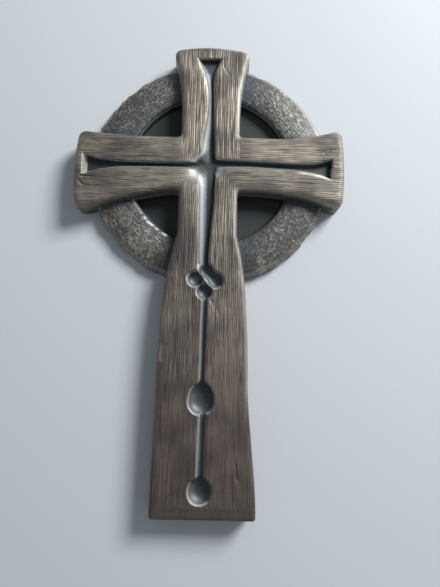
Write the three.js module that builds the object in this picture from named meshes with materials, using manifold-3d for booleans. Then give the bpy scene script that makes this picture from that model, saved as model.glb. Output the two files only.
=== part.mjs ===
// A small ringed cross, cast in one piece with a bronze finish, lying on its flat back.
// Millimetres. +Z is up, out of the carved front; +Y runs from the foot to the head; the origin is at the
// centre of the outline, on the back. The cross stands proud of a ring, the ring stands proud of four blind
// windows, and the face is cut with grooves, wedge-shaped pockets and drilled hollows.
import * as THREE from "three";
import Module from "manifold-3d";
import { mergeVertices } from "three/addons/utils/BufferGeometryUtils.js";

// Heights above the back.
const faceHeight = 12;
const ringCrown = 6.8;
const ringInnerLip = 6;
const ringOuterLip = 5.2;
const windowFloor = 1.8;

// Reaches of the four limbs from the centre of the crossing, at the foot of the rounded edge.
const headReach = 56;
const armReach = 59.1;
const footReach = 147;

// The rounded edge of the face, and the lean of the walls that lets a casting leave its mould.
const edgeRadius = 2.8;
const wallLean = THREE.MathUtils.degToRad(3);
const baseGrowth = (faceHeight - edgeRadius) * Math.tan(wallLean);

// The ring: half-widths of its opening and of its outer edge along X. It is a little squat along Y.
const ringInner = 36.2;
const ringOuter = 54;
const ringSquash = 0.955;
const ringEdge = 2.6;
const ringInnerLean = 0.9;

// The centre of the crossing: it puts the origin midway between the foot's end and the head's end, or the
// ring's top where that reaches higher.
const topReach = Math.max(headReach + baseGrowth, ringOuter * ringSquash);
const crossingY = (footReach - topReach) / 2;

// How far the curve of a hollow corner between two limbs reaches back along its two edges.
const innerCornerCut = 2;

// The grooves in the face and the pockets that they open into near the limbs' ends.
const grooveDepth = 2.6;
const narrowDepth = 2;
const pocketDepth = 3.4;
const pocketMouthDepth = 2.8;
const lineDepth = 1.5;
const cutterTop = faceHeight + 2;

// A limb's half-width on one side, s being the distance from the crossing. It stays at the neck width up to
// start, then flares to the end width by a power of the distance gone.
function flaredEdge(neck, end, start, reach, power) {
  return (s) => {
    const gone = THREE.MathUtils.clamp((s - start) / (reach - start), 0, 1);
    return neck + (end - neck) * gone ** power;
  };
}

// The shaft's edge swells below the ring to its shank width, and may flare again towards its toe.
const shaftStart = 31;
const shaftSwell = 22;
const toeLength = 55;
function shaftEdge(neck, shank, toe) {
  return (s) => {
    const swell = s > shaftStart ? 1 - Math.exp((shaftStart - s) / shaftSwell) : 0;
    const flare = THREE.MathUtils.smoothstep(s, footReach - toeLength, footReach);
    return neck + (shank - neck) * swell + (toe - shank) * flare;
  };
}

// The limbs in turn, anticlockwise from the right arm. Right and left are as seen looking out along the limb.
// Bow is how far the middle of the end stands proud of its corners, and cut is how far the curve of an end's
// corner reaches back along its two edges.
const limbs = {
  rightArm: {
    turn: 0,
    reach: armReach,
    bow: 1.2,
    cut: 3.8,
    right: flaredEdge(11.2, 18.2, 20, armReach, 1.7),
    left: flaredEdge(13.6, 19, 30, armReach, 1.8),
  },
  head: {
    turn: Math.PI / 2,
    reach: headReach,
    bow: 2,
    cut: 3.6,
    right: flaredEdge(12.9, 18, 24, headReach, 1.9),
    left: flaredEdge(13.3, 18.6, 24, headReach, 1.9),
  },
  leftArm: {
    turn: Math.PI,
    reach: armReach,
    bow: 1.4,
    cut: 3.8,
    right: flaredEdge(13, 15, 30, armReach, 1.6),
    left: flaredEdge(11.4, 21.6, 16, armReach, 1.25),
  },
  shaft: {
    turn: -Math.PI / 2,
    reach: footReach,
    bow: 0,
    cut: 3,
    right: shaftEdge(13.6, 20.5, 20.6),
    left: shaftEdge(12.4, 18.6, 22.2),
  },
};
const limbOrder = [limbs.rightArm, limbs.head, limbs.leftArm, limbs.shaft];

// Steps along an arm's edge, along the shaft's edge, round a corner and across a limb's end.
const armSteps = 9;
const shaftSteps = 22;
const cornerSteps = 4;
const endSteps = 6;

// A point of a limb, at distance s from the crossing and t to the left of the limb's axis.
function limbPoint(limb, s, t) {
  const point = new THREE.Vector2(s, t).rotateAround(new THREE.Vector2(), limb.turn);
  return point.add(new THREE.Vector2(0, crossingY));
}

// The points of a corner's curve between a and b, without its two ends.
function cornerPoints(a, corner, b) {
  return new THREE.QuadraticBezierCurve(a, corner, b).getPoints(cornerSteps).slice(1, -1);
}

// The outline of the cross, anticlockwise, moved outwards by grow. Every outline has the same number of
// points, so that outlines at several heights can be skinned together. The foot's end stays upright.
function crossOutline(grow) {
  const innerCut = innerCornerCut - 0.3 * grow;
  const points = [];
  limbOrder.forEach((limb, i) => {
    const before = limbOrder[(i + 3) % 4];
    const after = limbOrder[(i + 1) % 4];
    const reach = limb.reach + (limb === limbs.shaft ? Math.min(grow, 0) : grow);
    const steps = limb === limbs.shaft ? shaftSteps : armSteps;
    // The corners are rounder at the back than at the face.
    const outerCut = limb.cut + (grow > 0 ? 4 : 0.8) * grow;
    const right = (s) => -(limb.right(s) + grow);
    const left = (s) => limb.left(s) + grow;
    // The neighbour's edge at its neck is where this limb's edge begins.
    const fromRight = before.left(0) + grow + innerCut;
    const fromLeft = after.right(0) + grow + innerCut;
    const cornerS = reach - limb.bow;
    const low = right(cornerS);
    const high = left(cornerS);
    const middle = (low + high) / 2;
    const half = (high - low) / 2;
    const endS = (t) => reach - limb.bow * ((t - middle) / half) ** 2;
    for (let k = 0; k <= steps; k++) {
      const s = THREE.MathUtils.lerp(fromRight, cornerS - outerCut, k / steps);
      points.push(limbPoint(limb, s, right(s)));
    }
    const endLow = limbPoint(limb, endS(low + outerCut), low + outerCut);
    const endHigh = limbPoint(limb, endS(high - outerCut), high - outerCut);
    points.push(...cornerPoints(points.at(-1), limbPoint(limb, cornerS, low), endLow));
    for (let k = 0; k <= endSteps; k++) {
      const t = THREE.MathUtils.lerp(low + outerCut, high - outerCut, k / endSteps);
      points.push(limbPoint(limb, endS(t), t));
    }
    const edgeEnd = limbPoint(limb, cornerS - outerCut, left(cornerS - outerCut));
    points.push(...cornerPoints(endHigh, limbPoint(limb, cornerS, high), edgeEnd));
    for (let k = steps; k >= 0; k--) {
      const s = THREE.MathUtils.lerp(fromLeft, cornerS - outerCut, k / steps);
      points.push(limbPoint(limb, s, left(s)));
    }
    // The hollow corner between this limb and the next.
    const nextStart = limb.left(0) + grow + innerCut;
    const nextEdge = limbPoint(after, nextStart, -(after.right(nextStart) + grow));
    const hollow = limbPoint(limb, after.right(0) + grow, limb.left(0) + grow);
    points.push(...cornerPoints(points.at(-1), hollow, nextEdge));
  });
  return points;
}

// A closed body skinned over loops of equal length, each an array of Vector3. flat gives a loop's 2-D points
// for the triangles of the two end caps.
function skin(loops, flat) {
  const n = loops[0].length;
  const positions = loops.flat().flatMap((p) => [p.x, p.y, p.z]);
  const triangles = [];
  for (let r = 0; r + 1 < loops.length; r++) {
    for (let k = 0; k < n; k++) {
      const a = r * n + k;
      const b = r * n + ((k + 1) % n);
      triangles.push(a, b, b + n, a, b + n, a + n);
    }
  }
  const last = (loops.length - 1) * n;
  for (const [a, b, c] of THREE.ShapeUtils.triangulateShape(flat(loops[0]), [])) triangles.push(c, b, a);
  for (const [a, b, c] of THREE.ShapeUtils.triangulateShape(flat(loops.at(-1)), [])) {
    triangles.push(last + a, last + b, last + c);
  }
  const geometry = new THREE.BufferGeometry();
  geometry.setAttribute("position", new THREE.Float32BufferAttribute(positions, 3));
  geometry.setIndex(triangles);
  return geometry;
}

// The cross without its carving: walls that lean in from the back, then a quarter-round edge, then the face.
function crossBody() {
  const roundSteps = 3;
  const levels = [
    { z: 0, grow: baseGrowth },
    { z: faceHeight - edgeRadius, grow: 0 },
  ];
  for (let k = 1; k <= roundSteps; k++) {
    const angle = (k / roundSteps) * (Math.PI / 2);
    levels.push({
      z: faceHeight - edgeRadius + edgeRadius * Math.sin(angle),
      grow: -edgeRadius * (1 - Math.cos(angle)),
    });
  }
  const loops = levels.map(({ z, grow }) => crossOutline(grow).map((p) => new THREE.Vector3(p.x, p.y, z)));
  return skin(loops, (loop) => loop.map((p) => new THREE.Vector2(p.x, p.y)));
}

// The ring with the web that closes its windows, turned about the crossing: from the axis out over the
// window floor, up the inner wall, over the crowned face and the rounded outer edge, and back under.
function ringDish() {
  const profile = new THREE.Path();
  profile.moveTo(0, windowFloor);
  profile.lineTo(ringInner - ringInnerLean, windowFloor);
  profile.lineTo(ringInner, ringInnerLip);
  const crownRadius = (ringInner + ringOuter) / 2;
  profile.quadraticCurveTo(crownRadius - 3, ringCrown, crownRadius, ringCrown);
  profile.quadraticCurveTo(ringOuter - 2 * ringEdge, ringCrown, ringOuter - ringEdge, ringOuterLip + 0.8);
  profile.quadraticCurveTo(ringOuter - 0.6, ringOuterLip, ringOuter - 0.3, ringOuterLip - ringEdge);
  profile.lineTo(ringOuter, 0);
  profile.lineTo(0, 0);
  const turned = new THREE.LatheGeometry(profile.getPoints(3).reverse(), 96);
  return turned.rotateX(Math.PI / 2).scale(1, ringSquash, 1).translate(0, crossingY, 0);
}

// A trough cut down into the face along a limb. Each station gives the distance s from the crossing, the
// offset t of the trough's middle, the widths of its two banks, its depth, and the share of it that is floor.
function troughCutter(limb, stations) {
  const loops = stations.map(({ s, t = 0, right, left, depth, floor }) => {
    const section = [
      [-right, cutterTop],
      [-right, faceHeight],
      [-right * floor, faceHeight - depth],
      [left * floor, faceHeight - depth],
      [left, faceHeight],
      [left, cutterTop],
    ];
    return section.map(([across, z]) => {
      const p = limbPoint(limb, s, t + across);
      return new THREE.Vector3(p.x, p.y, z);
    });
  });
  const flat = (loop) =>
    loop.map((p) => {
      const across = new THREE.Vector2(p.x, p.y - crossingY).rotateAround(new THREE.Vector2(), -limb.turn).y;
      return new THREE.Vector2(across, p.z);
    });
  return skin(loops, flat);
}

// A round bowl sunk in the face, a ball's cap of the given half-width and depth.
function bowlCutter(x, fromCrossing, halfWidth, depth) {
  const ballRadius = (halfWidth ** 2 + depth ** 2) / (2 * depth);
  return new THREE.SphereGeometry(ballRadius, 28, 18)
    .rotateX(Math.PI / 2)
    .translate(x, crossingY - fromCrossing, faceHeight + ballRadius - depth);
}

// The groove of each limb and its pocket. It widens over the length of the pocket, which ends in a
// nearly upright wall, short of the limb's end. At the crossing the grooves run into each other.
const armPocketEnd = armReach - 5.3;
const armPocketLength = 11.5;
const headPocketEnd = headReach - 6.4;
const headPocketLength = 11.6;
const crossingOverlap = 1.5;
const headTrough = [
  { s: -crossingOverlap, right: 2, left: 3.6, depth: grooveDepth, floor: 0.16 },
  { s: headPocketEnd - 2 * headPocketLength, right: 1.9, left: 2.6, depth: grooveDepth, floor: 0.18 },
  { s: headPocketEnd - headPocketLength, right: 2.3, left: 3.2, depth: grooveDepth, floor: 0.3 },
  { s: headPocketEnd - 0.4 * headPocketLength, right: 3.9, left: 4.9, depth: pocketDepth, floor: 0.55 },
  { s: headPocketEnd, right: 5.6, left: 7.2, depth: pocketDepth, floor: 0.86 },
];
const leftTrough = [
  { s: -crossingOverlap, right: 1.4, left: 1.6, depth: grooveDepth, floor: 0.16 },
  { s: armPocketEnd - 2 * armPocketLength, right: 1.1, left: 1.2, depth: narrowDepth, floor: 0.16 },
  { s: armPocketEnd - armPocketLength, right: 2, left: 2.2, depth: pocketMouthDepth, floor: 0.5 },
  { s: armPocketEnd, right: 4.4, left: 4.3, depth: pocketDepth, floor: 0.86 },
];
const rightTrough = [
  { s: -crossingOverlap, right: 1.6, left: 1.4, depth: grooveDepth, floor: 0.16 },
  { s: armPocketEnd - 2 * armPocketLength, right: 1.3, left: 1.2, depth: narrowDepth, floor: 0.16 },
  { s: armPocketEnd - armPocketLength, right: 2.4, left: 1.9, depth: pocketMouthDepth, floor: 0.5 },
  { s: armPocketEnd, right: 4.8, left: 4.2, depth: pocketDepth, floor: 0.86 },
];

// The drilled hollows of the shaft, measured down from the crossing: a knot of four round its own middle, and
// two drops that hang from a line. The line widens into each drop, which makes it a teardrop.
const knot = { x: -0.3, down: 50.6, depth: 2.3 };
const knotBowls = [
  { across: 0.4, along: -4.2, half: 3.2 },
  { across: 4.1, along: -0.4, half: 3.3 },
  { across: -4.3, along: -0.2, half: 3.4 },
  { across: -0.2, along: 4.9, half: 3.3 },
];
const knotTop = knot.down - 5.6;
const knotBottom = knot.down + 6.4;
const upperDrop = { x: -1, down: 100.1, half: 5, depth: 2.9 };
const lowerDrop = { x: -0.3, down: footReach - 11.1, half: 4.4, depth: 2.7 };
const shaftTrough = [
  { s: -crossingOverlap, right: 3.6, left: 2, depth: grooveDepth, floor: 0.16 },
  { s: knotTop / 2, right: 3, left: 1.6, depth: grooveDepth, floor: 0.16 },
  { s: knotTop, right: 2, left: 1.3, depth: narrowDepth, floor: 0.16 },
];
// The line above a drop: as wide as it starts, then flaring over the last stretch before the drop.
function dropLine(from, drop, halfWidth) {
  const flareLength = 1.7 * drop.half;
  const flareWidth = 0.72 * drop.half;
  const line = { t: drop.x, right: halfWidth, left: halfWidth, depth: lineDepth, floor: 0.2 };
  const flare = { t: drop.x, right: flareWidth, left: flareWidth, depth: drop.depth, floor: 0.5 };
  return [
    { s: from, ...line },
    { s: drop.down - flareLength, ...line },
    { s: drop.down - 0.6 * drop.half, ...flare },
    { s: drop.down, ...flare },
  ];
}
const crossingDip = { x: -1, half: 5.6, depth: 2.8 };

const wasm = await Module();
wasm.setup();

// A geometry as a solid, and back.
function solid(geometry) {
  const bare = new THREE.BufferGeometry();
  bare.setAttribute("position", geometry.getAttribute("position"));
  bare.setIndex(geometry.getIndex());
  const merged = mergeVertices(bare, 1e-4);
  return new wasm.Manifold(
    new wasm.Mesh({
      numProp: 3,
      vertProperties: merged.attributes.position.array,
      triVerts: new Uint32Array(merged.index.array),
    }),
  );
}
function geometryOf(body) {
  const mesh = body.getMesh();
  const geometry = new THREE.BufferGeometry();
  geometry.setAttribute("position", new THREE.BufferAttribute(mesh.vertProperties, 3));
  geometry.setIndex(new THREE.BufferAttribute(mesh.triVerts, 1));
  geometry.computeVertexNormals();
  return geometry;
}

const cutters = [
  troughCutter(limbs.head, headTrough),
  troughCutter(limbs.leftArm, leftTrough),
  troughCutter(limbs.rightArm, rightTrough),
  troughCutter(limbs.shaft, shaftTrough),
  troughCutter(limbs.shaft, dropLine(knotBottom, upperDrop, 1.1)),
  troughCutter(limbs.shaft, dropLine(upperDrop.down, lowerDrop, 1.6)),
  bowlCutter(crossingDip.x, 0, crossingDip.half, crossingDip.depth),
  ...knotBowls.map(({ across, along, half }) => {
    return bowlCutter(knot.x + across, knot.down + along, half, knot.depth);
  }),
  ...[upperDrop, lowerDrop].map(({ x, down, half, depth }) => bowlCutter(x, down, half, depth)),
];
const carved = cutters.reduce((body, cutter) => body.subtract(solid(cutter)), solid(crossBody()));
const casting = new THREE.Mesh(
  geometryOf(carved.add(solid(ringDish()))),
  new THREE.MeshStandardMaterial({ color: 0x6b5d4d, roughness: 0.5, metalness: 0.6 }),
);
casting.name = "ringed_cross";

const part = new THREE.Group();
part.add(casting);
export default part;
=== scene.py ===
import math

import bpy
import numpy as np
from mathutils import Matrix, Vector


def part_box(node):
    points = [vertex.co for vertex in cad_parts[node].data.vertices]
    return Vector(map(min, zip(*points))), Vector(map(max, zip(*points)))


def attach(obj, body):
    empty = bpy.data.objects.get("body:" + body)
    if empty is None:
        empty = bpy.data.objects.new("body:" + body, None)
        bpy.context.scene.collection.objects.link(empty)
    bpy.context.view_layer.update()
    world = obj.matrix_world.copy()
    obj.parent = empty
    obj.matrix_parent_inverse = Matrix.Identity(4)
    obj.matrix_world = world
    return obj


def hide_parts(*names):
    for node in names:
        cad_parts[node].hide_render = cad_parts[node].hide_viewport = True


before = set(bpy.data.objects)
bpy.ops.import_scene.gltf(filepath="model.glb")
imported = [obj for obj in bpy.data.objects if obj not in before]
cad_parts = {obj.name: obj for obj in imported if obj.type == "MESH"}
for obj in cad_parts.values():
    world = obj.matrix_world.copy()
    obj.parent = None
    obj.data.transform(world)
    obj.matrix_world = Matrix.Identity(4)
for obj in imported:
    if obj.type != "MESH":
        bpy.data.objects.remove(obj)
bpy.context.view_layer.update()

# THE CROSS
# A flat-backed cross of resin cast with bronze powder, taken from a mould of carved oak. Grooves that widen
# into pockets are cut in the face of its four flared limbs, and round hollows in that of the shaft. Sizes are
# in millimetres here, and places are measured from the crossing of the limbs.
MM = 0.001
low, high = (np.array(corner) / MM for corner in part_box("ringed_cross"))
back_growth = 0.48  # how far the back stands out past the top of the walls
head_reach = 56.0
foot_reach = high[1] - low[1] - head_reach - back_growth
arm_reach = high[0] - back_growth
crossing_y = high[1] - head_reach - back_growth
raised_grain = 0.28  # room over the face for the highest grain
face_z = high[2] - raised_grain
edge_radius = 2.8


def flared(neck, end, start, reach, power):
    """Half-width of a limb: the neck's up to start, then out to the end's by a power of the way gone."""
    return lambda s: neck + (end - neck) * np.clip((s - start) / (reach - start), 0, 1) ** power


def swelling(neck, shank, toe):
    """Half-width of the shaft: an exponential swell below the ring, and an S-curve flare over the toe."""
    toe_length, swell_from, swell_length = 55, 31, 22

    def width(s):
        toe_way = np.clip((s - foot_reach + toe_length) / toe_length, 0, 1)
        swell = 1 - np.exp(np.minimum(swell_from - s, 0) / swell_length)
        return neck + (shank - neck) * swell + (toe - shank) * toe_way**2 * (3 - 2 * toe_way)
    return width


# Each limb has its quarter turn, its reach, how far its end bows out, how much its end's corners are cut,
# where its groove's pocket ends, how deep that is and how wide its end's slope, and its half-widths. Right
# and left are as seen looking out along the limb. A groove's stations are (distance out, right bank, left
# bank, width of the right bank's slope, width of the left bank's slope).
right_arm = dict(
    turn=0, reach=arm_reach, bow=1.2, cut=3.8, pocket=53.2, deep=3.0, end_slope=0.9,
    right=flared(11.2, 18.2, 20, arm_reach, 1.7), left=flared(13.6, 19.0, 30, arm_reach, 1.8),
    stations=[(0, 1.6, 2.3, 2.2, 1.2), (17, 1.2, 2.3, 2.2, 1.2), (34.7, 1.8, 1.7, 2.2, 1.2),
              (42.5, 2.5, 1.8, 2.2, 1.2), (46, 3.0, 2.0, 2.3, 1.2), (49, 3.6, 2.6, 2.3, 1.2),
              (51.5, 4.5, 3.4, 1.7, 1.2), (53.2, 5.0, 3.9, 1.3, 1.2)])
head = dict(
    turn=1, reach=head_reach, bow=2.0, cut=3.6, pocket=49.9, deep=2.7, end_slope=0.6,
    right=flared(12.9, 18.0, 24, head_reach, 1.9), left=flared(13.3, 18.6, 24, head_reach, 1.9),
    stations=[(0, 2.2, 4.0, 1.6, 3.5), (10, 2.0, 3.9, 1.4, 3.4), (18, 1.6, 2.6, 1.0, 2.5),
              (26, 1.3, 1.6, 0.9, 2.0), (32.5, 1.1, 1.7, 0.9, 2.1), (36.3, 0.9, 2.2, 0.9, 2.4),
              (40, 0.9, 3.0, 0.9, 2.8), (43.3, 1.2, 3.9, 1.0, 2.9), (45.8, 2.2, 5.0, 1.2, 2.5),
              (47.6, 2.9, 5.7, 1.2, 2.0), (50, 3.9, 6.6, 1.2, 1.6)])
left_arm = dict(
    turn=2, reach=arm_reach, bow=1.4, cut=3.8, pocket=55.2, deep=3.0, end_slope=1.3,
    right=flared(13.0, 15.0, 30, arm_reach, 1.6), left=flared(11.4, 21.6, 16, arm_reach, 1.25),
    stations=[(0, 1.3, 2.0, 0.9, 1.9), (21.7, 0.6, 2.0, 0.9, 1.9), (30.8, 0.5, 2.1, 0.8, 1.8),
              (38.9, 0.5, 2.4, 0.8, 1.8), (43, 0.9, 2.9, 1.0, 1.8), (48.9, 1.5, 3.8, 1.1, 1.8),
              (54, 3.2, 5.6, 1.2, 2.0)])
shaft = dict(
    turn=3, reach=foot_reach, bow=0.0, cut=1.6, pocket=47.5, deep=2.6, end_slope=1.5,
    right=swelling(13.6, 20.5, 20.6), left=swelling(12.4, 18.6, 22.2),
    stations=[(0, 4.8, 2.6, 3.7, 1.2), (16, 4.6, 2.3, 3.6, 1.1), (27, 4.3, 1.4, 3.3, 1.0),
              (40, 3.9, 0.5, 2.9, 0.9), (47, 3.3, 0.7, 2.5, 0.9)])
limbs = [right_arm, head, left_arm, shaft]

# The hollows of the shaft. The knot's are (x, y, end x, end y, half-width, depth): a gouge pressed in, or
# drawn on to an end. The drops are (x, y, half-width, depth, neck's length), and the lines are (how far down
# the top is, the drop below, half-width). The nicks in the grain are like the knot's.
knot = [(-0.4, -46.8, -0.4, -46.8, 3.1, 2.8), (-0.1, -47.1, 3.6, -50.7, 2.65, 2.7),
        (3.7, -50.8, 3.7, -50.8, 3.4, 2.8), (-4.9, -50.4, -4.9, -50.4, 3.4, 2.8),
        (-0.9, -55.7, -0.9, -55.7, 3.35, 2.8)]
upper_drop = (-0.9, -100.9, 5.4, 3.2, 1.0)
lower_drop = (-0.5, -136.0, 4.85, 3.0, 0.8)
lines = [(57.5, upper_drop, 1.3), (-upper_drop[1] + 4, lower_drop, 1.65)]
nicks = [(-55.7, -6.6, -49.5, -7.0, 0.4, 0.5), (-56.9, -8.2, -54.6, -10.8, 0.5, 0.35),
         (-54.6, -10.8, -52.2, -10.9, 0.5, 0.35), (-18.1, -78.4, -17.9, -84.5, 0.5, 0.4),
         (2.0, -59.5, 5.5, -65.1, 0.5, 0.25), (4.3, -59.6, 1.9, -63.5, 0.5, 0.2),
         (4.6, 47.0, 7.4, 42.0, 0.5, 0.10), (-56.6, 9.2, -53.6, 12.6, 0.6, 0.4),
         (13.6, -124.5, 14.4, -131.0, 0.5, 0.3), (50.0, 6.6, 52.4, 8.4, 0.6, 0.1)]


def turned(x, y, turns):
    """Turns plan points by whole quarter turns, anticlockwise."""
    for _ in range(turns % 4):
        x, y = -y, x
    return x, y


def smooth_least(a, b, blend):
    """The smaller of two fields, with the crease between them rounded over the width blend."""
    h = np.clip(0.5 + 0.5 * (b - a) / blend, 0, 1)
    return b + (a - b) * h - blend * h * (1 - h)


def smooth_most(a, b, blend):
    """The larger of two fields, with the crease between them rounded over the width blend."""
    return -smooth_least(-a, -b, blend)


def ease(value, start, end):
    """An S-curve from 0 at start to 1 at end."""
    t = np.clip((value - start) / (end - start), 0, 1)
    return t * t * (3 - 2 * t)


def groove_gap(x, y):
    """How far outside a groove's bank a point is, in widths of that bank's slope, and negative in the groove.
    A limb's groove is the meeting of its two banks and its end, and the four are joined with rounded
    corners."""
    far, behind, floor_blend, corner_blend = 50.0, 1.5, 0.15, 1.2
    gap = np.full(np.shape(x), far)
    for limb in limbs:
        s, t = turned(x, y, -limb["turn"])
        out, right, left, right_slope, left_slope = np.array(limb["stations"]).T
        over_right = (-t - np.interp(s, out, right)) / np.interp(s, out, right_slope)
        over_left = (t - np.interp(s, out, left)) / np.interp(s, out, left_slope)
        over_end = np.maximum((s - limb["pocket"]) / limb["end_slope"], (-s - behind) / behind)
        over_bank = smooth_most(over_right, over_left, floor_blend)
        gap = smooth_least(gap, np.maximum(over_bank, over_end), corner_blend)
    return gap


# The inner corners of the four pads are rubbed down: (x, y, depth, spread).
worn_corners = [(-4.4, -2.0, 1.9, 3.3), (-3.8, 1.4, 0.7, 2.4), (3.0, -2.6, 1.5, 2.4), (2.2, 2.2, 0.5, 1.8)]


def groove_depth(x, y):
    """How far the grooves and their rounded shoulders lie under the face. Inside a bank the wall falls to the
    floor on a shallow parabola, outside it the shoulder fades by an exponential, and the pads' inner corners
    sink under a Gaussian."""
    plain_floor, shoulder, shoulder_fade = 2.5, 0.34, 0.3
    gap = groove_gap(x, y)
    floor = np.full(np.shape(x), plain_floor)
    for limb in limbs:
        s = turned(x, y, -limb["turn"])[0]
        floor = floor + (limb["deep"] - plain_floor) * ease(s, limb["pocket"] - 16, limb["pocket"] - 3)
    way = np.clip(-gap, 0, 1)
    wall = way * (1.4 - 0.4 * way)
    outside = shoulder * np.exp(-np.maximum(gap, 0) / shoulder_fade)
    depth = np.where(gap > 0, outside, shoulder + (floor - shoulder) * wall)
    for corner_x, corner_y, deep, spread in worn_corners:
        worn = deep * np.exp(-((x - corner_x) ** 2 + (y - corner_y) ** 2) / (2 * spread**2))
        depth = depth + worn * (1 - np.clip(depth / floor, 0, 1))
    return depth


def hollow_wall(inside, wall):
    """A wall's share of the full depth: it falls on a quarter ellipse over the width wall, and is negative
    out of the hollow."""
    way = np.clip(inside / wall, 0, 1)
    return np.where(inside > 0, np.sqrt(1 - (1 - way) ** 2), inside * 0.6)


def gouge_depth(x, y, gouge):
    """A hollow a gouge leaves: everywhere within its half-width of the line from its start to its end."""
    from_x, from_y, to_x, to_y, half, deep = gouge
    run_x, run_y = to_x - from_x, to_y - from_y
    way = np.clip(((x - from_x) * run_x + (y - from_y) * run_y) / max(run_x**2 + run_y**2, 1e-6), 0, 1)
    inside = half - np.hypot(x - from_x - way * run_x, y - from_y - way * run_y)
    return deep * hollow_wall(inside, 0.78 * half) + 0.12 * inside


line_lean = 0.010  # how far the lines move to the right for each millimetre upwards


def drop_depth(x, y, drop):
    """A hollow like a falling drop: a round bowl, whose sides run on upwards and close in on the line above
    while its floor rises."""
    drop_x, drop_y, half, deep, neck = drop
    rise = (y - drop_y) / (half * neck)
    width = half * np.interp(rise, [0, 0.3, 0.6, 0.9, 1.15, 1.32, 1.5, 2.0, 3.0],
                             [1, 0.98, 0.93, 0.8, 0.6, 0.4, 0.25, 0.1, -0.5])
    side = width - np.abs(x - drop_x - line_lean * (y - drop_y))
    inside = np.where(rise > 0, side, half - np.hypot(x - drop_x, y - drop_y))
    floor_depth = deep - 0.9 * ease(rise, 0.5, 1.8)
    return floor_depth * hollow_wall(inside, 0.15 * half + 0.62 * np.maximum(width, 0.5)) + 0.1 * inside


def line_depth(x, y, top, drop, half):
    """A line from top down into a drop: a slope on its left, a flat floor and a steep wall on its right."""
    drop_x, drop_y = drop[:2]
    line_floor = 1.9
    across = (x - drop_x - line_lean * (y - drop_y)) / half
    deep_here = line_floor * np.minimum(np.minimum((across + 1) / 0.6, (1 - across) / 0.4), 1)
    return np.minimum(deep_here, line_floor - np.maximum(y + top, drop_y - y))


def carved_depth(x, y):
    """Everything that is cut in the face: grooves, pockets, lines and hollows, with rounded rims."""
    depth = groove_depth(x, y)
    no_hollow = -9.0
    hollows = np.full(np.shape(x), no_hollow)
    for gouge in knot:
        hollows = np.maximum(hollows, gouge_depth(x, y, gouge))
    depth = smooth_most(depth, hollows, 1.1)
    for top, drop, half in lines:
        tear = smooth_most(drop_depth(x, y, drop), line_depth(x, y, top, drop, half), 0.3)
        depth = smooth_most(depth, tear, 1.0)
    return depth


def lattice(u, v, seed):
    """Value noise from -1 to 1: a fixed pseudo-random number at each whole u and v, with S-curves between."""
    cell_u, cell_v = np.floor(u), np.floor(v)
    fade_u, fade_v = ((f * f * (3 - 2 * f)) for f in (u - cell_u, v - cell_v))

    def corner(du, dv):
        mixed = (cell_u + du) * 127.1 + (cell_v + dv) * 311.7 + seed * 74.7
        return np.modf(np.abs(np.sin(mixed)) * 43758.5453)[0] * 2 - 1
    low_side = corner(0, 0) + (corner(1, 0) - corner(0, 0)) * fade_u
    high_side = corner(0, 1) + (corner(1, 1) - corner(0, 1)) * fade_u
    return low_side + (high_side - low_side) * fade_v


def upright_share(x, y):
    """1 where the grain runs up and down, 0 where it runs across. The two meet beside the head on the upper
    pads, under the crossing on the lower left pad and on the mitre of the lower right pad, on lines that
    wander."""
    wander = 1.3 * lattice(x / 4.5, y / 4.5, 3) + 0.5 * lattice(x / 1.7, y / 1.7, 4)
    upper = 13.2 - np.abs(x) + wander
    lower_left = np.minimum(13.4 - np.abs(x), np.abs(y) - 8.2) + wander
    lower_right = np.minimum(12.8 - np.abs(x), (np.abs(y) - np.abs(x)) * 0.7 + 1.5) + wander
    inside = np.where(y > 0, upper, np.where(x < 0, lower_left, lower_right))
    beyond = np.minimum(np.abs(y) - 14, 27 - np.abs(x)) + wander
    return ease(np.maximum(inside, beyond), -0.5, 0.5)


def grain(along, across, seed):
    """Oak grain in mm: noise much longer along the grain than across it and bent by a slow waver, less the
    pores, which are short narrow cuts."""
    waver = 0.35 * lattice(along / 16, across / 7, seed) + 0.12 * lattice(along / 6, across / 3, seed + 1)
    bent = across + waver
    broad = lattice(along / 30, bent / 2.1, seed + 2)
    fine = lattice(along / 8, bent / 0.55, seed + 3)
    middle = lattice(along / 13, bent / 0.9, seed + 5)
    pores = np.maximum(0, lattice(along / 6, bent / 0.5, seed + 4) - 0.25)
    return 0.025 * broad + 0.035 * middle + 0.075 * fine - 0.16 * pores


def face_relief(x, y):
    """The grain of the cross's face in mm, turning from one limb's run to the next, less the nicks. On the
    lower right pad it bends round the corner, along lines at a constant distance from the groove. It nearly
    stops short of the foot."""
    share = upright_share(x, y)
    straight = grain(y, x, 11) * share + grain(x, y, 23) * (1 - share)
    bend = grain(np.abs(y) - np.abs(x), -smooth_least(np.abs(x), np.abs(y), 5.0), 31)
    bending = ease(x, 0, 1) * ease(-y, 0, 1) * ease(-np.hypot(x - 9, y + 9), -13, -9)
    foot = ease(y, -foot_reach + 4.5, -foot_reach + 6.5)
    nicked = np.zeros(np.shape(x))
    for nick in nicks:
        nicked = np.maximum(nicked, gouge_depth(x, y, nick))
    return (straight + (bend - straight) * bending) * (0.12 + 0.88 * foot) - nicked


def spaced(end, plain_step, fine_step, fine_places):
    """Places from 0 to end whose spacing is plain_step, and fine_step within each (middle, half-length)."""
    s = np.linspace(0, end, 2000)
    step = np.full(s.shape, plain_step)
    for middle, half in fine_places:
        step = np.where(np.abs(s - middle) < half, fine_step, step)
    count = np.concatenate([[0], np.cumsum(np.diff(s) / step[1:])])
    return np.interp(np.linspace(0, count[-1], int(round(count[-1])) + 1), count, s)


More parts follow.
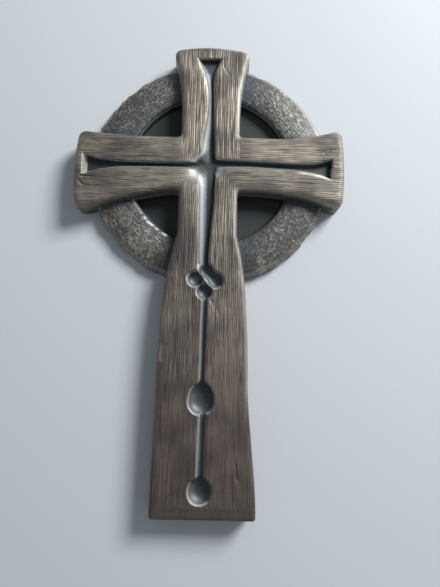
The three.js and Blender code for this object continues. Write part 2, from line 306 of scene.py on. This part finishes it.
# The mesh's columns stand on these places along each limb's middle line, closer where the carving is finer.
plain_step, fine_step = 1.5, 0.45
spine_ends = [52.4, 49.0, 52.4, -lower_drop[1]]
fine_spots = [[(0, 7), (50, 6)], [(0, 7), (46, 6)], [(0, 7), (50, 6)], [(0, 7), (51, 9), (96, 11), (135, 7)]]
spines = [spaced(end, plain_step, fine_step, spots) for end, spots in zip(spine_ends, fine_spots)]
end_count, corner_count, beyond_count = 52, 6, 5


def curve(a, corner, b, u):
    """A quadratic curve from a to b, pulled towards corner, at the shares u of its way."""
    u = np.asarray(u)[:, None]
    return (1 - u) ** 2 * a + 2 * u * (1 - u) * corner + u**2 * b


def outline(grow):
    """The cross's outline moved out by grow, anticlockwise from the hollow corner right of the right arm.
    Each limb gives its right edge, a corner curve, its bowed end, a corner curve and its left edge. The
    points near the crossing lie on the curves of the hollow corners."""
    hollow_cut = 2 - 0.3 * grow
    points = []
    for i, limb in enumerate(limbs):
        before, after = limbs[i - 1], limbs[(i + 1) % 4]
        spine = spines[i]
        end_cut = limb["cut"] + (4 if grow > 0 else 0.8) * grow
        reach = limb["reach"] + (min(grow, 0) if limb is shaft else grow)
        tip = reach - limb["bow"]
        last = tip - end_cut

        def edge(side, s):
            return np.stack([s, side * (limb["left" if side > 0 else "right"](s) + grow)], axis=1)

        def hollow(side, neighbour, s):
            """Half of the hollow corner's curve, from the middle of the curve out to this limb's own edge."""
            mine = neighbour["left" if side < 0 else "right"](0) + grow
            own = limb["left" if side > 0 else "right"](0) + grow
            start = mine + hollow_cut
            a = edge(side, np.array([start]))[0]
            other_s = own + hollow_cut
            other_t = neighbour["left" if side < 0 else "right"](other_s) + grow
            b = np.array([other_t, side * other_s])
            corner = np.array([mine, side * own])
            return start, curve(a, corner, b, 0.5 * (1 - s[s < start] / start))
        sides = []
        for side, neighbour in ((-1, before), (1, after)):
            start, bend = hollow(side, neighbour, spine)
            beyond = np.linspace(spine[-1], last, beyond_count + 1)[1:]
            straight = np.concatenate([spine[spine >= start], beyond])
            sides.append(np.concatenate([bend, edge(side, np.minimum(straight, last))]))
        low_t, high_t = -(limb["right"](tip) + grow), limb["left"](tip) + grow
        middle, half = (low_t + high_t) / 2, (high_t - low_t) / 2
        t = np.linspace(low_t + end_cut, high_t - end_cut, end_count)
        end = np.stack([reach - limb["bow"] * ((t - middle) / half) ** 2, t], axis=1)
        u = np.linspace(0, 1, corner_count + 2)[1:-1]
        ring = np.concatenate([
            sides[0], curve(sides[0][-1], np.array([tip, low_t]), end[0], u), end,
            curve(end[-1], np.array([tip, high_t]), sides[1][-1], u), sides[1][:0:-1]])
        points.append(np.stack(turned(ring[:, 0], ring[:, 1], limb["turn"]), axis=1))
    return np.concatenate(points)


def spine_points():
    """For each point of the outline, the point of the limb's middle line that it looks towards."""
    points = []
    round_the_end = 2 * beyond_count + 2 * corner_count + end_count
    for limb, spine in zip(limbs, spines):
        out = np.concatenate([spine, np.full(round_the_end, spine[-1]), spine[:0:-1]])
        points.append(np.stack(turned(out, np.zeros(out.shape), limb["turn"]), axis=1))
    return np.concatenate(points)


# The rows of the mesh: up the leaning walls, over the rounded edge on a part of a squarish superellipse, and
# in over the face to the limbs' middle lines.
wall_shares = np.array([0.0, 0.5, 3.0, 5.0, 7.0, 9.2]) / 9.2
edge_angles = np.radians([12, 28, 44, 60, 76, 90])
edge_power = 0.75
face_rows = 49
back_bevel, ripple_room = 0.45, 0.08
wall_top = face_z - edge_radius
levels = []
for up in wall_shares:
    grow = back_growth * (1 - up) - (back_bevel if up == 0 else 0.0) - ripple_room
    plan = outline(grow)
    levels.append(np.column_stack([plan, np.full(len(plan), up * wall_top)]))
for angle in edge_angles:
    inset, rise = 1 - math.cos(angle) ** edge_power, math.sin(angle) ** edge_power
    plan = outline(-edge_radius * inset - ripple_room)
    levels.append(np.column_stack([plan, np.full(len(plan), wall_top + edge_radius * rise)]))
shore, spine_line = levels[-1][:, :2], spine_points()
for row in range(1, face_rows + 1):
    plan = shore + (spine_line - shore) * row / face_rows
    levels.append(np.column_stack([plan, np.full(len(plan), face_z)]))
grid = np.array(levels)

# The carving lowers the face, and so does a shallow step along the foot. Both fade out over the rounded edge,
# so that no pocket breaks through it. The grain fades out in the cuts.
px, py, pz = grid[..., 0], grid[..., 1], grid[..., 2]
on_face = ease(pz, wall_top + 0.5 * edge_radius, face_z)
relief = face_relief(px, py)
foot_step = 0.45
depth = carved_depth(px, py)
depth = depth + foot_step * ease(-py, foot_reach - 5.5, foot_reach - 2.5)
smooth_cut = ease(depth, 0.5, 1.3)
pz = pz - on_face * depth + on_face * relief * (1 - 0.85 * smooth_cut)
grid[..., 2] = np.clip(pz, 0, high[2])

# The walls are not quite true: the grain shows on them as long shallow ripples.
outward = outline(0.5) - outline(-0.5)
outward /= np.linalg.norm(outward, axis=1)[:, None]
rows_z = grid[..., 2]
ripple_height = 0.07
ripple = ripple_height * lattice(px / 9 + py / 11, rows_z / 0.9, 41) - ripple_height
on_wall = (1 - on_face) * ease(rows_z, 0.2, 1.5)
grid[..., 0] += on_wall * ripple * outward[:, 0]
grid[..., 1] += on_wall * ripple * outward[:, 1]


def closed_shell(name, points):
    """A closed mesh over rows of points that each run anticlockwise right round, from the back edge up to a
    last row that folds on itself, where points at one place are one vertex. One flat face closes the first
    row."""
    rows, count = points.shape[:2]
    numbers = np.arange(rows * count).reshape(rows, count)
    fold = np.round(points[-1, :, :2], 5) + 0.0
    _, firsts, same = np.unique(fold, axis=0, return_index=True, return_inverse=True)
    numbers[-1] = (rows - 1) * count + same.ravel()
    spots = np.concatenate([points[:-1].reshape(-1, 3), points[-1][firsts]]) + [0, crossing_y, 0]
    low_row, high_row = numbers[:-1], numbers[1:]
    next_low, next_high = np.roll(low_row, -1, axis=1), np.roll(high_row, -1, axis=1)
    quads = np.stack([low_row, next_low, next_high, high_row], axis=-1).reshape(-1, 4)
    folded = quads[:, 2] == quads[:, 3]
    faces = quads[~folded].tolist() + quads[folded][:, :3].tolist() + [numbers[0][::-1].tolist()]
    mesh = bpy.data.meshes.new(name)
    mesh.from_pydata((spots * MM).tolist(), [], faces)
    thing = bpy.data.objects.new(name, mesh)
    bpy.context.collection.objects.link(thing)
    return thing


cross = closed_shell("ringed_cross_casting", grid)


# THE RING
# The ring that ties the limbs, with the floor that closes its windows, comes out of the same mould as the
# cross and is one casting with it. Its low crowned face is cut with short slanting strokes, and its outer
# edge is uneven from the knife.
ring_in, ring_out, ring_squash = 36.2, 54.0, 0.955
window_floor = 1.8


def ring_profile():
    """The ring's section as (distance, height): from the middle of the floor, up the leaning inner wall and
    its rounded lip, over the crowned face, round the outer edge and down to the back. The roundings are
    quarter circles and the face is a parabola."""
    turn = np.radians(np.linspace(0, 90, 5))
    sine, cosine = np.sin(turn), np.cos(turn)
    fillet, lip_round, edge_round, lip_height, outer_drop, crown = 0.6, 0.8, 2.6, 5.2, 0.8, 4.3
    floor = np.stack([np.array([0, 12, 24, 32]), np.full(4, window_floor)], axis=1)
    foot = np.stack([ring_in - 1.5 + fillet * sine, window_floor + fillet - fillet * cosine], axis=1)
    lip = np.stack([ring_in + lip_round - lip_round * cosine, lip_height + lip_round * sine], axis=1)
    out = np.linspace(ring_in + 1.15, ring_out - 2.9, 42)
    way = (out - ring_in) / (ring_out - edge_round - ring_in)
    face = np.stack([out, lip_height + lip_round - outer_drop * way + crown * way * (1 - way)], axis=1)
    edge = np.stack([ring_out - edge_round + edge_round * sine, edge_round + edge_round * cosine], axis=1)
    back = [[ring_out, edge_round], [ring_out, 1.2], [ring_out, 0.0]]
    return np.concatenate([floor, foot, lip, face, edge[:-1], back])


section = ring_profile()
turns_round = 840
angle = np.linspace(0, 2 * math.pi, turns_round, endpoint=False)
away = np.repeat(section[:, :1], len(angle), axis=1)
lift = np.repeat(section[:, 1:], len(angle), axis=1)
theta = np.repeat(angle[None, :], len(section), axis=0)
on_ring = ease(away, ring_in - 0.5, ring_in + 1.5) * ease(lift, 0.5, 3.0)
rx, ry = away * np.cos(theta), ring_squash * away * np.sin(theta)


def stroke_relief(x, y):
    """Gouge strokes in mm that run at 45 degrees, along the ring in the middle of each quarter: short wavy
    ridges over a slow unevenness. They grow fainter beside the limbs."""
    slope = np.where(x * y > 0, -1.0, 1.0)
    along, across = (x + slope * y) / math.sqrt(2), (y - slope * x) / math.sqrt(2)
    bent = across + 0.9 * lattice(along / 4, across / 3, 61) + 0.3 * lattice(along / 1.6, across / 1.4, 62)
    strokes = lattice(along / 1.9, bent / 0.5, 63)
    broken = lattice(along / 0.8, bent / 0.45, 64)
    slow = lattice(along / 8, across / 5, 65)
    beside = ease(np.minimum(np.abs(x), np.abs(y)), 15.5, 23)
    return (0.09 * strokes + 0.07 * broken) * (0.3 + 0.7 * beside) + 0.07 * slow


lift = lift + stroke_relief(rx, ry) * on_ring
knife = 0.4 * lattice(theta * 12, theta * 0, 71) + 0.3 * lattice(theta * 26, theta * 0, 72) - 0.6  # in mm
away = away + knife * ease(away, ring_out - 4, ring_out - 0.5)
rx, ry = away * np.cos(theta), ring_squash * away * np.sin(theta)
ring = closed_shell("ring_part", np.stack([rx, ry, lift], axis=-1)[::-1])


def give(thing, name, values):
    """Stores one number per vertex for the finish to read."""
    thing.data.attributes.new(name, "FLOAT", "POINT").data.foreach_set("value", np.ravel(values).astype("f4"))


def place_of(thing):
    """The vertices' places in mm from the crossing."""
    flat = np.empty(len(thing.data.vertices) * 3)
    thing.data.vertices.foreach_get("co", flat)
    return flat.reshape(-1, 3) / MM - [0, crossing_y, 0]


give(cross, "ringside", np.zeros(len(cross.data.vertices)))
give(ring, "ringside", np.ones(len(ring.data.vertices)))
union = cross.modifiers.new("one_casting", "BOOLEAN")
union.operation = "UNION"
union.solver = "MANIFOLD"
union.object = ring
bpy.context.view_layer.update()
joined = bpy.data.meshes.new_from_object(cross.evaluated_get(bpy.context.evaluated_depsgraph_get()))
cross.modifiers.clear()
cross.data = joined
bpy.data.objects.remove(ring)
joined.name = "ringed_cross_casting"

# What the finish reads, worked out at each point of the joined casting: how deep it lies in a cut, which sets
# its stain, with painted shade and light added; how high its relief stands; which way its grain runs; and
# where polishing has rubbed it or a highlight is painted.
x, y, z = place_of(cross).T
ring_share = np.empty(len(x), dtype="f4")
joined.attributes["ringside"].data.foreach_get("value", ring_share)
cross_share = 1 - ring_share
depth = carved_depth(x, y)
radius = np.hypot(x, y / ring_squash)
on_top = ease(z, 5.5, 7.5)
hollows_top = -44  # the grooves lie above this height on the shaft, and the round hollows and lines below

# Beside the limbs and round the windows the ring is darker, on borders that wander: stain left unrubbed
# there, and painted shade where the limbs and the window's edge shade the ring.
wobble = 1.3 * lattice(x / 3, y / 3, 81) + 0.6 * lattice(x / 1.1, y / 1.1, 82)
lower_left = (x < 0) & (y < 0)
by_post = 1 - ease(np.abs(x) + wobble, 15.5, np.where(lower_left, 19, 22.5))
by_arm = 1 - ease(np.abs(y) + wobble, 15, 19)
by_window = np.where(lower_left, 0.8, 0.4) * (1 - ease(radius + wobble, ring_in + 1.5, ring_in + 6))
beside = np.maximum(np.maximum(by_post, by_arm), by_window) * ring_share
in_window = (1 - ease(radius, ring_in - 0.8, ring_in + 0.6)) * (1 - ease(z, 4.5, 6.0))
give(cross, "sheltered", beside * (1 - in_window))

# The stain in the cuts darkens with their depth. Over it lies painted shade on a groove's upper right bank,
# which faces away from the lamp, and at the crossing, and painted light on a hollow's lower left side, which
# faces the lamp. The facing is how fast the cut deepens towards the upper right: above 0 on a lower left
# wall.
reach_over = 0.15
facing_x = carved_depth(x + reach_over, y) - carved_depth(x - reach_over, y)
facing_y = carved_depth(x, y + reach_over) - carved_depth(x, y - reach_over)
facing = facing_x + facing_y
# Painted shade on the banks that face away from the lamp, and at the crossing.
painted_bank_shade = 1.3 * ease(-facing, 0.05, 0.4) * ease(depth, 0.2, 0.6)
painted_crossing_shade = 1.5 * np.exp(-(((x + 2.5) / 3.6) ** 2 + ((y - 2.0) / 3.4) ** 2)) * ease(depth, 0.3, 1.0)
# Painted light: the lower left walls of the hollows, which face the lamp, take a lighter stain.
hollow_stain_and_light = np.minimum(1.6 * depth, 2.35 - 0.35 * ease(facing, 0.02, 0.22))
cut_stain_and_shade = np.where(y < hollows_top, hollow_stain_and_light, np.minimum(depth + painted_bank_shade + painted_crossing_shade, 3.0))
cut_stain_and_shade = cut_stain_and_shade * on_top * cross_share * (1 - 0.16 * ease(y, 12, 20))
window_stain = 2.1 + 2.4 * (1 - ease(z, 2.1, 3.2))
give(cross, "carved", cut_stain_and_shade + (window_stain - cut_stain_and_shade) * in_window)
give(cross, "relief", face_relief(x, y) / 0.13 * cross_share + stroke_relief(x, y) / 0.2 * ring_share)
give(cross, "upright", upright_share(x, y) * cross_share + (x * y > 0) * ring_share)

# Rubbed bare and painted bright. Painted highlights, where a surface faces the lamp: the lower left rims of
# the hollows, less so those of the lines, the left rim of the head's groove, the lower bank of the right
# arm's pocket, the end of the left arm's, the corner of the lower left pad, the limbs' right edges, the upper
# right of the ring's outer edge and the ring's lip at the lower left. Rubbing only: the grooves' other rims,
# the limbs' edges, the shaft's left edge and the rest of the ring's outer edge.
# Painted highlight on the hollows' rims, only on their lower left sides, which face the lamp.
hollow_rim_highlight = ease(depth, 0.02, 0.16) * (1 - ease(depth, 0.7, 1.5)) * on_top
hollow_rim_highlight = hollow_rim_highlight * (y < hollows_top) * ease(facing, -0.04, 0.14)
on_line = (np.abs(x + 0.7) < 2.6) * ((y < -58) & (y > -94) | (y < -106) & (y > -131))
hollow_rim_highlight = hollow_rim_highlight * (1 - 0.6 * on_line)
groove_rim_wear_and_highlight = ease(depth, 0.02, 0.22) * (1 - ease(depth, 0.5, 1.0)) * on_top
groove_rim_wear_and_highlight = groove_rim_wear_and_highlight * (0.08 + 0.5 * ease(y, 25, 32) * (x < 0))
right_bank_highlight = 0.85 * ease(x, 36, 42) * (y < 0) * ease(depth, 0.02, 0.16) * (1 - ease(depth, 1.4, 2.3)) * on_top
left_end_highlight = 0.65 * ease(-x, 53.3, 54.3) * ease(depth, 0.05, 0.4) * on_top
pad_corner_highlight = 0.22 * np.exp(-((x + 7) ** 2 + (y + 4.5) ** 2) / 34) * on_top
edge_band = ease(z, wall_top - 1.5, wall_top + 0.8) * (1 - ease(z, face_z - 0.5, face_z - 0.1))
edge_band = edge_band * (depth < 0.25)
any_edge = 0.1 * edge_band * ease(y, -96, -60)
right_edge_highlight = (0.35 + 0.25 * (y > 16)) * edge_band * (x > 0) * ease(y, -108, -92)
left_edge = 0.22 * edge_band * (x < 0) * ease(-y, 58, 75) * ease(y, -135, -115)
cross_wear_and_highlights = np.max([hollow_rim_highlight, groove_rim_wear_and_highlight, right_bank_highlight, left_end_highlight, pad_corner_highlight,
                     any_edge, right_edge_highlight, left_edge], axis=0)
# Rubbing all round the ring's outer edge, with a painted highlight on its upper right; a painted highlight on
# the lower left lip.
ring_edge_wear_and_highlight = ease(radius, ring_out - 3.2, ring_out - 1.5) * ease(z, 2.0, 3.5)
ring_edge_wear_and_highlight = ring_edge_wear_and_highlight * (0.25 + 0.3 * (x > 0) * (y > 0))
ring_lip_highlight = ease(radius, ring_in - 0.2, ring_in + 0.4) * (1 - ease(radius, ring_in + 0.9, ring_in + 1.7))
ring_lip_highlight = ring_lip_highlight * (x < -18) * (y < -14) * (z > 4.5) * ease(lattice(x / 1.7, y / 1.7, 83), -0.6, 0.3)
ring_wear_and_highlights = np.maximum(ring_edge_wear_and_highlight, 0.95 * ring_lip_highlight)
give(cross, "rubbed", cross_wear_and_highlights * cross_share + ring_wear_and_highlights * ring_share)

# Broad places made lighter, or darker, than the rest: (x, y, spread x, spread y, share).
worn = np.zeros(len(x))
for spot_x, spot_y, wide, tall, share in (
        (-11, -30, 8, 17, -0.60), (13, -28, 7, 16, -0.18), (51, 0, 7, 18, -0.3), (-8, 32, 6, 15, 0.3),
        (30, 9, 16, 6, 0.2), (-20, 9, 14, 6, 0.1), (12, -95, 7, 22, 0.18), (-30, -32, 10, 10, 0.36)):
    worn += share * np.exp(-(((x - spot_x) / wide) ** 2 + ((y - spot_y) / tall) ** 2))
give(cross, "wear", worn)
joined.shade_smooth()
joined.set_sharp_from_angle(angle=math.radians(50))


# THE FINISH
# Cold-cast bronze: resin heavy with bronze powder, stained dark, then rubbed back so that the raised grain
# and the edges shine brown and gold while the cuts keep their blue-black stain. Painted highlights on rims,
# banks and edges that face the lamp, and painted shade on banks that face away, at the crossing and beside
# the limbs, are mixed into the colour.
bronze = bpy.data.materials.new("patinated_cold_cast_bronze")
bronze.use_nodes = True
tree = bronze.node_tree
tree.nodes.clear()


class Wire:
    """A socket of the bronze's nodes. Arithmetic on wires adds Math nodes."""

    def __init__(self, socket):
        self.socket = socket

    @staticmethod
    def node(kind, settings, inputs, output=0):
        """One node: its settings, with a ramp's stops among them, then its inputs' values or wires."""
        made = tree.nodes.new(kind)
        for name, value in settings.items():
            if name == "stops":
                while len(made.color_ramp.elements) < len(value):
                    made.color_ramp.elements.new(0.5)
                for stop, (position, colour) in zip(made.color_ramp.elements, value):
                    stop.position, stop.color = position, colour
            else:
                setattr(made, name, value)
        for name, value in inputs.items():
            if isinstance(value, Wire):
                tree.links.new(value.socket, made.inputs[name])
            else:
                made.inputs[name].default_value = value
        return Wire(made.outputs[output]) if made.outputs else None

    def maths(self, operation, other):
        return Wire.node("ShaderNodeMath", {"operation": operation}, {0: self, 1: other})

    def __add__(self, other):
        return self.maths("ADD", other)

    __radd__ = __add__

    def __mul__(self, other):
        return self.maths("MULTIPLY", other)

    __rmul__ = __mul__

    def __sub__(self, other):
        return self.maths("SUBTRACT", other)

    def __rsub__(self, other):
        return Wire.node("ShaderNodeMath", {"operation": "SUBTRACT"}, {0: other, 1: self})

    def ease(self, start, end):
        """An S-curve of this value, from 0 at start to 1 at end."""
        return Wire.node("ShaderNodeMapRange", {"interpolation_type": "SMOOTHSTEP"},
                         {"Value": self, "From Min": start, "From Max": end})


def attribute(name):
    """A number that was stored on the casting's points."""
    return Wire.node("ShaderNodeAttribute", {"attribute_name": name}, {}, "Fac")


def laid(turn, along_scale, across_scale, seed):
    """Places stretched along a direction that is turned from the x axis. The scales are per metre."""
    return Wire.node("ShaderNodeMapping", {"vector_type": "TEXTURE"}, {
        "Vector": where, "Rotation": (0, 0, turn), "Location": (seed * 0.013, seed * 0.007, 0),
        "Scale": (1 / along_scale, 1 / across_scale, 1 / across_scale)})


def grained(along_scale, across_scale, seed, detail, in_lines=False):
    """Noise, or wavering lines, that follow the grain of the cross and, much shorter, the slanting strokes of
    the ring."""
    def one_way(turn, shorter, finer):
        place = laid(turn, along_scale * shorter, across_scale * finer, seed)
        if in_lines:
            return Wire.node("ShaderNodeTexWave", {"bands_direction": "Y"}, {
                "Vector": place, "Scale": 1.0, "Distortion": 4.0, "Detail": detail,
                "Detail Scale": 1.0}, "Fac")
        return Wire.node("ShaderNodeTexNoise", {}, {"Vector": place, "Scale": 1.0, "Detail": detail}, "Fac")
    ring_shorter, ring_finer = 9, 0.95
    level, upright = one_way(0.0, 1, 1), one_way(math.pi / 2, 1, 1)
    rising, falling = (one_way(turn, ring_shorter, ring_finer) for turn in (math.pi / 4, -math.pi / 4))
    on_cross = level + (upright - level) * upright_part
    on_ring = rising + (falling - rising) * upright_part
    return on_cross + (on_ring - on_cross) * ringside


def blend(share, under, over):
    """The colour under, with its share replaced by the colour over. A mix node has several sockets of each
    name, so they are given by number."""
    share_in, under_in, over_in, colour_out = 0, 6, 7, 2
    return Wire.node("ShaderNodeMix", {"data_type": "RGBA"},
                     {share_in: share, under_in: under, over_in: over}, colour_out)


def paint(red, green, blue):
    """A colour from its screen values of 0 to 255, as the linear colour a shader takes."""
    return tuple(((c / 255 + 0.055) / 1.055) ** 2.4 for c in (red, green, blue)) + (1.0,)


carved, raised, ringside, upright_part, rubbed, sheltered, wear = (
    attribute(n) for n in ("carved", "relief", "ringside", "upright", "rubbed", "sheltered", "wear"))
where = Wire.node("ShaderNodeTexCoord", {}, {}, "Object")
up_the_cross = Wire.node("ShaderNodeSeparateXYZ", {}, {0: where}, 1)
streaks = grained(55, 1300, 1.0, 2.0)
pores = grained(110, 1700, 5.0, 1.0)
combed = grained(35, 350, 9.0, 2.0, in_lines=True)
patches, hues, speck = (
    Wire.node("ShaderNodeTexNoise", {}, {"Vector": where, "Scale": scale, "Detail": detail}, "Fac")
    for scale, detail in ((70.0, 3.0), (130.0, 1.0), (900.0, 1.0)))

# The skin of the cross: dark stain under warm rubbed bronze, with dark pores.
rub = (raised * 0.08 + streaks * 1.1 + combed * 0.24 + patches * 1.1 + wear - 0.875).ease(-0.2, 1.1)
warm = blend(patches.ease(0.35, 0.65), paint(150, 137, 120), paint(174, 161, 142))
warm = blend(hues.ease(0.45, 0.62) * 0.6, warm, paint(160, 140, 130))
stained = blend(patches.ease(0.4, 0.6), paint(88, 82, 77), paint(100, 94, 86))
skin = blend(rub, stained, warm)
skin = blend((0.45 - pores).ease(0.0, 0.08) * 0.6, skin, paint(54, 50, 47))

# The skin of the ring: greyer, and blue-grey where it carries the stain and painted shade beside the limbs
# and round the windows.
ring_rub = raised * 0.15 + streaks * 1.5 + combed * 0.15 + speck * 1.4 + patches * 1.0 + wear - 1.95
ring_rub = ring_rub.ease(-0.1, 1.0)
ring_skin = blend(ring_rub, paint(84, 82, 80), paint(182, 172, 158))
ring_skin = blend(sheltered * 0.85, ring_skin, blend(ring_rub, paint(64, 70, 78), paint(112, 119, 125)))
skin = blend(ringside, skin, ring_skin)

# Towards the foot it turns red-brown. The stain and painted shade cover the cuts, and the most rubbed places
# and the painted highlights are bare pale bronze.
foot_share = up_the_cross.ease(0.050, -0.085) * 0.85
foot_plain = up_the_cross.ease(-0.0945, -0.0965)
rub = rub + (0.5 - rub) * foot_plain
skin = blend(foot_share, skin, blend(rub, paint(68, 59, 56), paint(114, 97, 90)))
# The colour of the cuts: light grey on shallow banks, darker with depth, and near black where the painted
# shade adds to the stain.
cut_colour_stain_and_shade = Wire.node("ShaderNodeValToRGB", {"stops": [
    (0.0, paint(172, 170, 166)), (0.3, paint(158, 160, 160)), (0.42, paint(94, 97, 100)),
    (0.5, paint(58, 61, 62)), (0.9, paint(56, 58, 58))]}, {0: carved * 0.2})
cut = carved.ease(0.3, 1.3)
skin = blend(cut, skin, cut_colour_stain_and_shade)
# Pale bare bronze where rubbed, and painted highlights on the rims, banks and edges that face the lamp.
skin = blend(rubbed, skin, paint(204, 199, 187))

gloss = 0.53 + cut * 0.02 - rubbed * 0.03 + (speck - 0.5) * 0.15
bumps = streaks * 0.5 + combed * 0.35 + pores * 0.35 + speck * 0.12
bump = Wire.node("ShaderNodeBump", {}, {
    "Height": bumps * (1 - cut * 0.85), "Distance": 0.0002, "Strength": 0.7})
surface = Wire.node("ShaderNodeBsdfPrincipled", {}, {
    "Base Color": skin, "Roughness": gloss, "Metallic": 0.5, "Normal": bump})
Wire.node("ShaderNodeOutputMaterial", {}, {"Surface": surface})
joined.materials.clear()
joined.materials.append(bronze)
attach(cross, "root")
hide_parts("ringed_cross")

# THE STAGE
# A plain pale table top under the casting, a broad soft lamp beyond its upper right, and a dim cool room. The
# camera looks almost straight down from over the shaft. Places and sizes are in metres here.
half_table = 1.5
table = bpy.data.meshes.new("table_top")
table.from_pydata([(-half_table, -half_table, 0), (half_table, -half_table, 0),
                   (half_table, half_table, 0), (-half_table, half_table, 0)], [], [(0, 1, 2, 3)])
floor = bpy.data.objects.new("table_top", table)
bpy.context.collection.objects.link(floor)
pale = bpy.data.materials.new("pale_table")
pale.use_nodes = True
pale_sockets = pale.node_tree.nodes["Principled BSDF"].inputs
pale_sockets["Base Color"].default_value = (0.62, 0.63, 0.64, 1)
pale_sockets["Roughness"].default_value = 0.8
table.materials.append(pale)

lamp_data = bpy.data.lights.new("soft_lamp", "AREA")
lamp_data.shape = "DISK"
lamp_data.size = 0.36
lamp_data.energy = 10.0
lamp_data.color = (0.93, 0.97, 1.0)
lamp = bpy.data.objects.new("soft_lamp", lamp_data)
lamp.location = (0.50, 0.50, 0.50)
lamp.rotation_euler = (Vector((0, 0.1, 0)) - lamp.location).to_track_quat("-Z", "Y").to_euler()
bpy.context.collection.objects.link(lamp)
room = bpy.data.worlds.new("dim_room")
room.use_nodes = True
sky_sockets = room.node_tree.nodes["Background"].inputs
sky_sockets["Color"].default_value = (0.72, 0.82, 0.92, 1)
sky_sockets["Strength"].default_value = 0.30
bpy.context.scene.world = room
bpy.context.scene.view_settings.view_transform = "Standard"

camera_data = bpy.data.cameras.new("camera")
camera_data.lens = 28.82
camera_data.sensor_width = 36.0
camera_data.clip_start = 0.01
camera = bpy.data.objects.new("camera", camera_data)
camera.location = (0.002892, -0.038137, 0.205988)
camera.rotation_euler = (0.1375, -0.018, 0.0252)
bpy.context.collection.objects.link(camera)
bpy.context.scene.camera = camera
